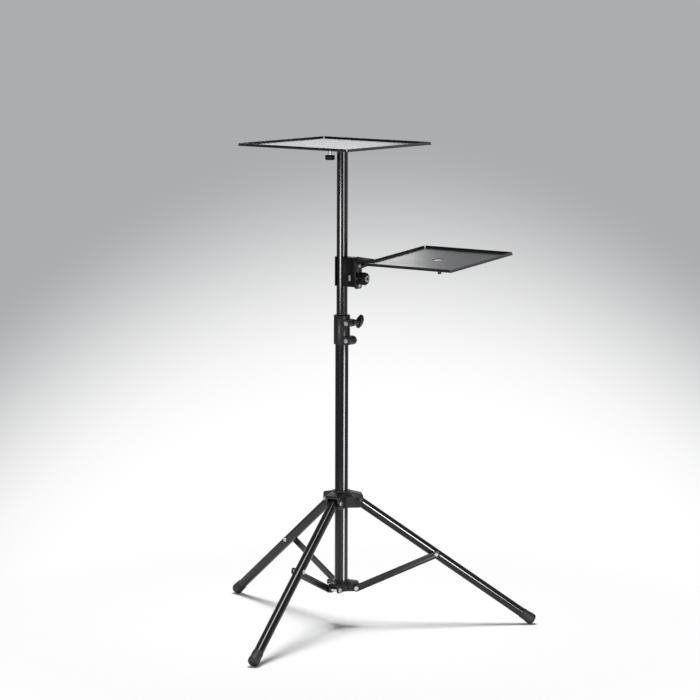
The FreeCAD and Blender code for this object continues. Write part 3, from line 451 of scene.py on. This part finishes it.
# Platform. Sheet steel folded up to a lip along each side, in a satin black coat.
# The sheet is fixed to a flange, and the flange is welded round the top of the upper tube.
# The coat is finer and flatter than on the tubes, and mirrors a pale room at low angles.
FLANGE_UNDERSIDE = 1.0974
UPPER_TUBE_RADIUS = 0.0125
WELD_SIZE = 0.0016
WELD_DROPS = 40
WELD_LEAST = 0.85
WELD_MOST = 1.1
WELD_SEED = 7
SEAM_STEPS = 64
DROP_DETAIL = 3
sheet_coat, tree, place = material_start("satin_powder_coated_sheet")
peel = add(tree, "ShaderNodeTexNoise", {"Vector": place, "Scale": PER_MM / 1.1, "Detail": 2.0})
cloud = add(tree, "ShaderNodeTexNoise", {"Vector": place, "Scale": PER_MM / 60, "Detail": 5.0})
gloss = add(tree, "ShaderNodeMapRange", {"Value": cloud.outputs[0], "To Min": 0.2, "To Max": 0.3})
shade = add(tree, "ShaderNodeMix", {0: cloud.outputs[0], 6: linear("#0e0e0f"), 7: linear("#1a1a1c")},
            data_type="RGBA")
relief = add(tree, "ShaderNodeBump", {"Height": peel.outputs[0], "Strength": 0.008, "Distance": 0.0002})
material_end(tree, add(tree, "ShaderNodeBsdfPrincipled", {
    "Base Color": shade.outputs[2], "Roughness": gloss.outputs[0], "Normal": relief.outputs[0], "IOR": 1.5}))
coat(["platform", "platform_flange"], sheet_coat)
weld_tree, given = tree_start("weld_bead", Radius="Float", Drops="Int", Size="Float", Seed="Int")
seam = add(weld_tree, "GeometryNodeCurvePrimitiveCircle", {
    "Resolution": SEAM_STEPS, "Radius": given["Radius"]})
spots = add(weld_tree, "GeometryNodeCurveToPoints", {"Curve": seam.outputs[0], "Count": given["Drops"]})
drop = add(weld_tree, "GeometryNodeMeshIcoSphere", {"Radius": given["Size"], "Subdivisions": DROP_DETAIL})
uneven = add(weld_tree, "FunctionNodeRandomValue", {2: WELD_LEAST, 3: WELD_MOST, "Seed": given["Seed"]},
             data_type="FLOAT")
tree_end(weld_tree, given, add(weld_tree, "GeometryNodeInstanceOnPoints", {
    "Points": spots.outputs[0], "Instance": drop.outputs[0], "Scale": uneven.outputs[1]}))
mesh = grown(weld_tree, "flange_weld", sheet_coat, Radius=UPPER_TUBE_RADIUS, Drops=WELD_DROPS,
             Size=WELD_SIZE, Seed=WELD_SEED)
mesh.transform(Matrix.Translation((0, 0, FLANGE_UNDERSIDE)))
piece_of("flange_weld", mesh, sheet_coat, "upper_mast")

# Platform stud and knob. A threaded steel stud under the flange, with a moulded grip run up on it.
# The grips are black ABS moulded round a steel insert, with shallow flutes for the fingers.
STUD_RADIUS = 0.004
STUD_LENGTH = 0.017
THREAD_PITCH = 0.00125
THREAD_DEPTH = 0.00045
STUD_REACH = 0.028
STUD_TURN = 186
STUD_STEPS = 32
COIL_STEPS = 24
CREST_STEPS = 6
FLUTES = 10
FLUTE_DEPTH = 0.09
FLUTE_SHARPNESS = 1.5
FLUTE_STEPS = 12
FLUTED_FROM = 0.8
STEM_SHARE = 0.55
# Shares of the radius with rises above the neck, then shares of the radius with shares of the length.
GRIP_SHOULDER = ((0.9, 0.0), (0.965, 0.03), (1.0, 0.12))
GRIP_CROWN = ((1.0, 0.6), (1.0, 0.8), (0.985, 0.87), (0.94, 0.93), (0.86, 0.985), (0.8, 1.0), (0.5, 1.0),
              (0.46, 0.965), (0.0, 0.965))
PLATFORM_GRIP = {"radius": 0.011, "length": 0.0115, "neck": 0.0006}
knob_abs, tree, place = material_start("moulded_abs")
grain = add(tree, "ShaderNodeTexNoise", {"Vector": place, "Scale": PER_MM / 0.8, "Detail": 2.0})
flow = add(tree, "ShaderNodeTexNoise", {"Vector": place, "Scale": PER_MM / 12, "Detail": 3.0})
gloss = add(tree, "ShaderNodeMapRange", {"Value": flow.outputs[0], "To Min": 0.3, "To Max": 0.44})
shade = add(tree, "ShaderNodeMix", {0: flow.outputs[0], 6: linear("#070709"), 7: linear("#0e0d10")},
            data_type="RGBA")
relief = add(tree, "ShaderNodeBump", {"Height": grain.outputs[0], "Strength": 0.15, "Distance": 0.0002})
material_end(tree, add(tree, "ShaderNodeBsdfPrincipled", {
    "Base Color": shade.outputs[2], "Roughness": gloss.outputs[0], "Normal": relief.outputs[0], "IOR": 1.54,
    "Specular IOR Level": 0.12}))


def grip(name, stands_for, frame_matrix, body, radius, length, neck):
    """A fluted knob inside the space of its CAD solid."""
    def flute(reach, height, angle):
        if reach < radius * FLUTED_FROM:
            return reach
        return reach * (1 - FLUTE_DEPTH * (0.5 - 0.5 * math.cos(FLUTES * angle)) ** FLUTE_SHARPNESS)
    stem = radius * STEM_SHARE
    profile = [(0, 0), (stem, 0), (stem, neck)]
    profile += [(radius * wide, neck + radius * rise) for wide, rise in GRIP_SHOULDER]
    profile += [(radius * wide, length * along) for wide, along in GRIP_CROWN]
    mesh = lathe(name, profile, FLUTES * FLUTE_STEPS, flute)
    mesh.transform(frame_matrix)
    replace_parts(piece_of(name, mesh, knob_abs, body), stands_for)


def facing(azimuth, reach, height, down=False):
    """A frame whose +Z points out from the mast at an azimuth, or straight down."""
    turn = Matrix.Rotation(math.radians(azimuth), 4, "Z") @ Matrix.Translation((reach, 0, height))
    return turn @ Matrix.Rotation(math.pi if down else math.pi / 2, 4, "Y")


thread_tree, given = tree_start("screw_thread", Radius="Float", Height="Float", Turns="Float", Depth="Float")
coil = add(thread_tree, "GeometryNodeCurveSpiral", {
    "Resolution": COIL_STEPS, "Rotations": given["Turns"], "Start Radius": given["Radius"],
    "End Radius": given["Radius"], "Height": given["Height"]})
crest = add(thread_tree, "GeometryNodeCurvePrimitiveCircle", {
    "Resolution": CREST_STEPS, "Radius": given["Depth"]})
tree_end(thread_tree, given, add(thread_tree, "GeometryNodeCurveToMesh", {
    "Curve": coil.outputs[0], "Profile Curve": crest.outputs[0], "Fill Caps": True}))
root = STUD_RADIUS - THREAD_DEPTH
mesh = merged("platform_stud_threaded", [
    lathe("stud_core", [(0, 0), (root, 0), (root, STUD_LENGTH), (0, STUD_LENGTH)], STUD_STEPS),
    grown(thread_tree, "stud_thread", plated, Radius=root, Height=STUD_LENGTH - THREAD_PITCH,
          Turns=STUD_LENGTH / THREAD_PITCH - 1, Depth=THREAD_DEPTH),
])
mesh.transform(facing(STUD_TURN, STUD_REACH, FLANGE_UNDERSIDE, down=True))
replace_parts(piece_of("platform_stud_threaded", mesh, plated, "upper_mast"), "platform_stud")
grip("platform_grip", "platform_knob",
     facing(STUD_TURN, STUD_REACH, FLANGE_UNDERSIDE - STUD_LENGTH, down=True), "upper_mast", **PLATFORM_GRIP)

# Tray clamp. A moulded ABS hook round the upper tube; its knob turns a screw through a captive nut.
# The screw's dark end stands out of the nut that holds the knob. A second, like knob locks the top hub.
TRAY_TURN = -36.8
SCREW_HEIGHT = 0.805
NUT_EDGE = 0.0012
KNOB_NUT_FACE = 0.0711
SCREW_END = 0.0038
SCREW_STAND = 0.0013
SCREW_CHAMFER = 0.0005
TRAY_GRIP = {"radius": 0.0145, "length": 0.02, "neck": 0.003}
TRAY_GRIP_SEAT = 0.0485
LOCK_GRIP = {"radius": 0.012, "length": 0.015, "neck": 0.003}
LOCK_GRIP_SEAT = 0.029
LOCK_TURN = 64.5
LOCK_HEIGHT = 0.295
softened("tray_clamp", MOULDED_EDGE, knob_abs, "tray_arm")
softened("clamp_nut", NUT_EDGE, plated, "tray_arm")
coat(["clamp_screw", "knob_washer", "tray_knob_nut"], plated)
grip("tray_grip", "tray_knob", facing(TRAY_TURN, TRAY_GRIP_SEAT, SCREW_HEIGHT), "tray_arm", **TRAY_GRIP)
mesh = lathe("tray_screw_end", [
    (0, 0), (SCREW_END, 0), (SCREW_END, SCREW_STAND - SCREW_CHAMFER),
    (SCREW_END - SCREW_CHAMFER, SCREW_STAND), (0, SCREW_STAND)], STUD_STEPS)
mesh.transform(facing(TRAY_TURN, KNOB_NUT_FACE, SCREW_HEIGHT))
piece_of("tray_screw_end", mesh, oxide, "tray_arm")
grip("lock_grip", "lock_knob", facing(LOCK_TURN, LOCK_GRIP_SEAT, LOCK_HEIGHT), "crown", **LOCK_GRIP)

# Tray. Sheet steel folded like the platform, with a round hole in its middle, on a cut plate bracket.
# Two screws hold the bracket to the clamp, and a rubber button under the tray's edge acts as a stop.
PLATE_EDGE = 0.0007
coat(["tray"], sheet_coat)
softened("tray_bracket", PLATE_EDGE, sheet_coat, "tray_arm")
coat(["bracket_screw_upper", "bracket_screw_lower"], plated)
coat(["tray_stop"], rubber)

# Studio. One pale sheet swept up behind the stand, lit as paper; to the eye it also glows a little.
# The glow keeps it pale and is painted light: white on the floor, a painted grey shade higher up.
# From behind and from below it is clear, so that it never hides the stand.
SWEEP_FRONT = -1.9
SWEEP_BACK = 3.4
SWEEP_RADIUS = 2.5
SWEEP_TOP = 5.0
SWEEP_HALF = 2.6
SWEEP_STEPS = 24
FALLOFF_MIDDLE = 0.12
FALLOFF_BEND = 0.35
FALLOFF_START = 0.22
FALLOFF_END = 0.95
GLOW_START = 0.5
GLOW_FULL = 1.0
GLOW_LEAST = 0.1
EDGE_START = 1.2
EDGE_END = 1.9
EDGE_LEAST = 0.7
work = bmesh.new()
path = [(SWEEP_FRONT, 0.0), (SWEEP_BACK - SWEEP_RADIUS, 0.0)]
for step in range(1, SWEEP_STEPS + 1):
    bow = math.pi / 2 * step / SWEEP_STEPS
    path.append((SWEEP_BACK + SWEEP_RADIUS * (math.sin(bow) - 1), SWEEP_RADIUS * (1 - math.cos(bow))))
path.append((SWEEP_BACK, SWEEP_TOP))
rows = [[work.verts.new((x, y, z)) for x in (-SWEEP_HALF, SWEEP_HALF)] for y, z in path]
for low, high in zip(rows, rows[1:]):
    work.faces.new((low[0], low[1], high[1], high[0]))
mesh = bpy.data.meshes.new("studio_sweep")
work.to_mesh(mesh)
work.free()
smooth(mesh)
sweep = bpy.data.objects.new("studio_sweep", mesh)
bpy.context.scene.collection.objects.link(sweep)


def seen_by_eye(tree):
    """One for what the eye sees straight or mirrored, none for light that only bounces on."""
    look = add(tree, "ShaderNodeLightPath", {}).outputs
    seen = add(tree, "ShaderNodeMath", {0: look["Is Camera Ray"], 1: look["Is Glossy Ray"]},
               operation="MAXIMUM")
    return add(tree, "ShaderNodeMath", {0: seen.outputs[0], 1: look["Is Transmission Ray"]},
               operation="MAXIMUM")


paper, tree, place = material_start("studio_paper")
spot = add(tree, "ShaderNodeSeparateXYZ", {"Vector": place})
# Painted shade in the glow: its colour greys from white on the floor towards the top and the sides.
aside = add(tree, "ShaderNodeMath", {0: spot.outputs[0], 1: FALLOFF_MIDDLE}, operation="SUBTRACT")
aside = add(tree, "ShaderNodeMath", {0: aside.outputs[0], 1: 2.0}, operation="POWER")
climb = add(tree, "ShaderNodeMath", {0: aside.outputs[0], 1: FALLOFF_BEND, 2: spot.outputs[2]},
            operation="MULTIPLY_ADD")
painted_falloff = add(tree, "ShaderNodeValToRGB", {0: climb.outputs[0]})
painted_falloff.color_ramp.interpolation = "EASE"
painted_falloff.color_ramp.elements[0].position = FALLOFF_START
painted_falloff.color_ramp.elements[0].color = linear("#ffffff")
painted_falloff.color_ramp.elements[1].position = FALLOFF_END
painted_falloff.color_ramp.elements[1].color = linear("#acadaf")
seen = seen_by_eye(tree)
reach = add(tree, "ShaderNodeVectorMath", {0: place}, operation="LENGTH")
rise = add(tree, "ShaderNodeMapRange", {
    "Value": reach.outputs["Value"], "From Min": GLOW_START, "From Max": GLOW_FULL, "To Min": GLOW_LEAST})
share = add(tree, "ShaderNodeMath", {0: seen.outputs[0], 1: rise.outputs[0]}, operation="MULTIPLY")
# Painted shade: towards its left and right ends the paper's colour darkens and its glow weakens.
far = add(tree, "ShaderNodeMath", {0: spot.outputs[0]}, operation="ABSOLUTE")
edge = add(tree, "ShaderNodeMapRange", {
    "Value": far.outputs[0], "From Min": EDGE_START, "From Max": EDGE_END, "To Min": 1.0,
    "To Max": EDGE_LEAST}, interpolation_type="SMOOTHSTEP")
flat = add(tree, "ShaderNodeMix", {0: edge.outputs[0], 6: linear("#555658"), 7: linear("#f8f8f8")},
           data_type="RGBA")
flat = add(tree, "ShaderNodeBsdfDiffuse", {"Color": flat.outputs[2]})
lit = add(tree, "ShaderNodeEmission", {"Color": painted_falloff.outputs[0], "Strength": edge.outputs[0]})
face = add(tree, "ShaderNodeMixShader", {0: share.outputs[0], 1: flat.outputs[0], 2: lit.outputs[0]})
back = add(tree, "ShaderNodeBsdfTransparent", {})
turned = add(tree, "ShaderNodeNewGeometry", {})
material_end(tree, add(tree, "ShaderNodeMixShader", {
    0: turned.outputs["Backfacing"], 1: face.outputs[0], 2: back.outputs[0]}))
mesh.materials.append(paper)

# Light. Soft boxes on stands, each flagged to light the stand, some of its tubes or the floor alone.
# Those at the sides draw a line down each tube, one behind lies in the tray's sheen, and two are overhead.
# The floor's own box is overhead too, and only the tripod shades it.
ROOM_SEEN = 0.5
ROOM_LIGHT = 0.15
world = bpy.data.worlds.new("room")
bpy.context.scene.world = world
world.use_nodes = True
tree = world.node_tree
tree.nodes.clear()
seen = seen_by_eye(tree)
level = add(tree, "ShaderNodeMapRange", {
    "Value": seen.outputs[0], "To Min": ROOM_LIGHT, "To Max": ROOM_SEEN})
wall = add(tree, "ShaderNodeBackground", {"Color": linear("#c9cbce"), "Strength": level.outputs[0]})
add(tree, "ShaderNodeOutputWorld", {"Surface": wall.outputs[0]})


def gathered(name, items):
    """A collection of objects that a lamp is set to light, or that shade it."""
    group = bpy.data.collections.new(name)
    for item in items:
        group.objects.link(item)
    return group


def softbox(name, place, target, wide, tall, watts, lights, shaded_by=None):
    """A rectangular lamp facing a point, flagged so that it lights one group only."""
    lamp = bpy.data.lights.new(name, "AREA")
    lamp.shape = "RECTANGLE"
    lamp.size = wide
    lamp.size_y = tall
    lamp.energy = watts
    stand = bpy.data.objects.new(name, lamp)
    stand.location = place
    stand.rotation_euler = (Vector(target) - Vector(place)).to_track_quat("-Z", "Y").to_euler()
    stand.visible_camera = False
    stand.light_linking.receiver_collection = lights
    stand.light_linking.blocker_collection = shaded_by
    bpy.context.scene.collection.objects.link(stand)


parts = gathered("stand", [item for item in bpy.data.objects if item.type == "MESH" and item is not sweep])
floor = gathered("floor", [sweep])
mast = gathered("mast", [solid["lower_tube"], solid["upper_tube"]])
right_leg = gathered("right_leg", [solid["leg_right"]])
front_leg = gathered("front_leg", [solid["leg_front"]])
under_top = gathered("under_top", [item for item in parts.objects if item != solid["leg_front"]])
tripod = [solid["lower_tube"], bpy.data.objects["top_hub_soft"], bpy.data.objects["bottom_hub_soft"]]
for side in SIDES:
    tripod += [solid["leg_" + side], bpy.data.objects["boot_" + side]]
    tripod += [bpy.data.objects["brace_%s_soft" % side]]
tripod = gathered("tripod", tripod)
softbox("left_softbox", (-2.56, -3.46, 0.46), (0, 0, 0.8), 1.7, 0.36, 60, parts)
softbox("right_panel", (3.0, 0.9, 1.0), (0, 0, 0.8), 1.0, 1.6, 4, parts)
softbox("right_strip", (1.18, -1.16, 0.225), (0, 0, 0.225), 0.58, 0.4, 20, mast)
softbox("low_strip", (0.322, -0.316, 0.1), (0, 0, 0.1), 0.16, 0.2, 2.6, mast)
softbox("upper_strip", (1.3, -0.98, 0.68), (0, 0, 0.68), 0.3, 0.4, 1.2, mast)
softbox("right_softbox", (1.45, -2.35, 0.92), (0.2, 0, 0.2), 0.6, 0.9, 38, parts)
softbox("leg_softbox", (1.42, -2.35, 0.92), (0.2, 0, 0.2), 0.55, 0.9, 48, right_leg)
softbox("back_softbox", (-0.3, 3.0, 1.75), (0.2, 0, 0.85), 1.0, 0.5, 4.2, parts)
softbox("top_softbox", (0.0, -0.05, 3.5), (0, 0, 0), 1.2, 1.2, 90, under_top)
softbox("front_softbox", (0.35, -0.35, 3.5), (-0.1, -0.2, 0.15), 1.2, 1.2, 60, front_leg)
softbox("floor_softbox", (0.0, -0.05, 3.5), (0, 0, 0), 1.2, 1.2, 122, floor, tripod)

# Camera. A long lens, seven metres away and a little above the platform, looking slightly down.
# It stands straight in front, so that the mast is upright in the frame.
CAMERA_PLACE = (0.0, -7.0387, 1.5892)
YAW = math.radians(0.150)
PITCH = math.radians(7.689)
ROLL = math.radians(0.187)
FOCAL_LENGTH = 161.6
SENSOR_WIDTH = 36
SIGHT_LIMIT = 100
ahead = Vector((math.sin(YAW) * math.cos(PITCH), math.cos(YAW) * math.cos(PITCH), -math.sin(PITCH)))
level = Vector((math.cos(YAW), -math.sin(YAW), 0))
above = level.cross(ahead)
side_way = level * math.cos(ROLL) + above * math.sin(ROLL)
up_way = above * math.cos(ROLL) - level * math.sin(ROLL)
lens = bpy.data.cameras.new("camera")
lens.lens = FOCAL_LENGTH
lens.sensor_width = SENSOR_WIDTH
lens.clip_end = SIGHT_LIMIT
camera = bpy.data.objects.new("camera", lens)
camera.matrix_world = Matrix((side_way, up_way, -ahead)).transposed().to_4x4()
camera.location = CAMERA_PLACE
bpy.context.scene.collection.objects.link(camera)
bpy.context.scene.camera = camera
